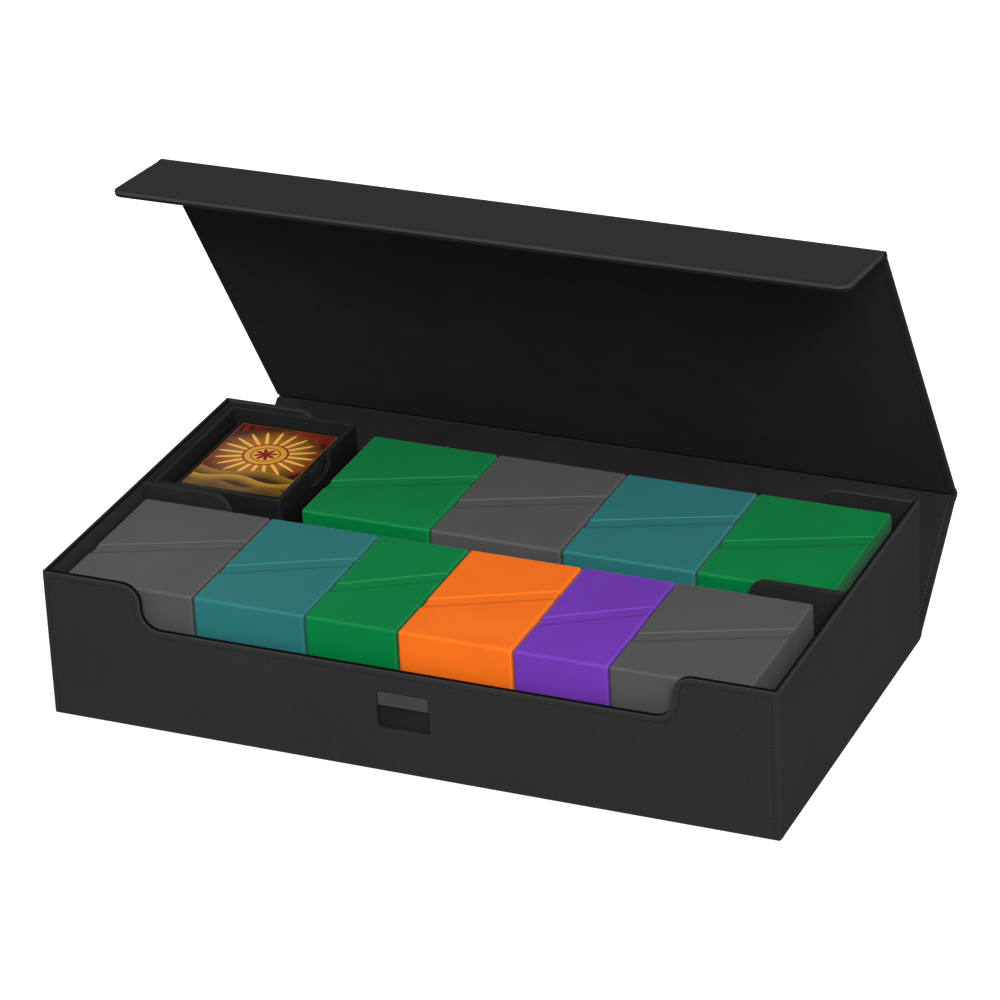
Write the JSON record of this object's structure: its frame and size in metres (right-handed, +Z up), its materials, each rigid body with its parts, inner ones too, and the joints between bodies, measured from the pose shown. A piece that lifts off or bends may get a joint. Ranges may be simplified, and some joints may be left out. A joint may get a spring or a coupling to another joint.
{
  "type": "trading card box",
  "caption": "Low box for trading cards with a wrap-round folding cover and magnetic flap, two rows of lift-out deck cases, a divider and a lift-out card tray.",
  "frame": {"origin": "centre of the underside of the base", "axes": "+X along the front to the right, +Y to the back, +Z up"},
  "size_m": [0.426, 0.2996, 0.267],
  "materials": {
    "leatherette": "fine grain, satin",
    "lining": "brushed microfibre",
    "board": "matt grey board",
    "tray": "board in leatherette",
    "badge": "satin",
    "steel": "plain",
    "magnet": "plated",
    "card_sleeves": "stacked edges",
    "card_face": "printed card in a clear sleeve",
    "case_grey": "satin",
    "case_green": "satin",
    "case_teal": "satin",
    "case_orange": "satin",
    "case_purple": "satin"
  },
  "bodies": {
    "base": {"bottom_cover": "leatherette", "floor_board": "board", "floor_linings": "lining", "front_wall_board": "board", "rear_wall_board": "board", "left_wall_board": "board", "right_wall_board": "board", "front_wall_lining": "lining", "rear_wall_lining": "lining", "left_wall_lining": "lining", "right_wall_lining": "lining", "outer_wrap": "leatherette", "badge_plate": "badge", "wall_steel_discs": "steel", "divider_board": "board", "divider_wrap": "lining", "spine_hinge_strip": "leatherette"},
    "spine": {"spine_cover": "leatherette", "spine_board": "board", "spine_lining": "lining", "lid_hinge_strip": "leatherette"},
    "lid": {"lid_cover": "leatherette", "lid_board": "board", "lid_lining": "lining", "flap_hinge_strip": "leatherette"},
    "flap": {"flap_cover": "leatherette", "flap_board": "board", "flap_lining": "lining", "flap_magnets": "magnet"},
    "card_tray": {"tray_floor": "tray", "tray_mat": "lining", "tray_front_wall": "tray", "tray_rear_wall": "tray", "tray_left_wall": "tray", "tray_right_wall": "tray"},
    "cards": {"card_stack": "card_sleeves", "top_card": "card_face"},
    "front_case_1": {"front_case_1_box": "case_grey", "front_case_1_cap": "case_grey"},
    "front_case_2": {"front_case_2_box": "case_teal", "front_case_2_cap": "case_teal"},
    "front_case_3": {"front_case_3_box": "case_green", "front_case_3_cap": "case_green"},
    "front_case_4": {"front_case_4_box": "case_orange", "front_case_4_cap": "case_orange"},
    "front_case_5": {"front_case_5_box": "case_purple", "front_case_5_cap": "case_purple"},
    "front_case_6": {"front_case_6_box": "case_grey", "front_case_6_cap": "case_grey"},
    "rear_case_1": {"rear_case_1_box": "case_green", "rear_case_1_cap": "case_green"},
    "rear_case_2": {"rear_case_2_box": "case_grey", "rear_case_2_cap": "case_grey"},
    "rear_case_3": {"rear_case_3_box": "case_teal", "rear_case_3_cap": "case_teal"},
    "rear_case_4": {"rear_case_4_box": "case_green", "rear_case_4_cap": "case_green"}
  },
  "joints": [
    {"name": "spine_hinge", "type": "hinge", "parent": "base", "child": "spine", "pos_m": [0, 0.1159, 0.0034], "axis": [-1, 0, 0], "range_deg": [-48.5, 41.5], "deforming": ["spine_hinge_strip"]},
    {"name": "lid_hinge", "type": "hinge", "parent": "spine", "child": "lid", "pos_m": [0, 0.18408, 0.05945], "axis": [-1, 0, 0], "range_deg": [-9.7, 80.3], "deforming": ["lid_hinge_strip"]},
    {"name": "flap_hinge", "type": "hinge", "parent": "lid", "child": "flap", "pos_m": [0, 0.05856, 0.26189], "axis": [-1, 0, 0], "range_deg": [-36.6, 53.4], "deforming": ["flap_hinge_strip"]},
    {"name": "tray_lift", "type": "slide", "parent": "base", "child": "card_tray", "axis": [0, 0, 1], "range_m": [0, 0.085]},
    {"name": "card_lift", "type": "slide", "parent": "card_tray", "child": "cards", "axis": [0, 0, 1], "range_m": [0, 0.08]},
    {"name": "front_case_1_lift", "type": "slide", "parent": "base", "child": "front_case_1", "axis": [0, 0, 1], "range_m": [0, 0.086]},
    {"name": "front_case_2_lift", "type": "slide", "parent": "base", "child": "front_case_2", "axis": [0, 0, 1], "range_m": [0, 0.086]},
    {"name": "front_case_3_lift", "type": "slide", "parent": "base", "child": "front_case_3", "axis": [0, 0, 1], "range_m": [0, 0.086]},
    {"name": "front_case_4_lift", "type": "slide", "parent": "base", "child": "front_case_4", "axis": [0, 0, 1], "range_m": [0, 0.086]},
    {"name": "front_case_5_lift", "type": "slide", "parent": "base", "child": "front_case_5", "axis": [0, 0, 1], "range_m": [0, 0.086]},
    {"name": "front_case_6_lift", "type": "slide", "parent": "base", "child": "front_case_6", "axis": [0, 0, 1], "range_m": [0, 0.086]},
    {"name": "rear_case_1_lift", "type": "slide", "parent": "base", "child": "rear_case_1", "axis": [0, 0, 1], "range_m": [0, 0.086]},
    {"name": "rear_case_2_lift", "type": "slide", "parent": "base", "child": "rear_case_2", "axis": [0, 0, 1], "range_m": [0, 0.086]},
    {"name": "rear_case_3_lift", "type": "slide", "parent": "base", "child": "rear_case_3", "axis": [0, 0, 1], "range_m": [0, 0.086]},
    {"name": "rear_case_4_lift", "type": "slide", "parent": "base", "child": "rear_case_4", "axis": [0, 0, 1], "range_m": [0, 0.086]}
  ]
}
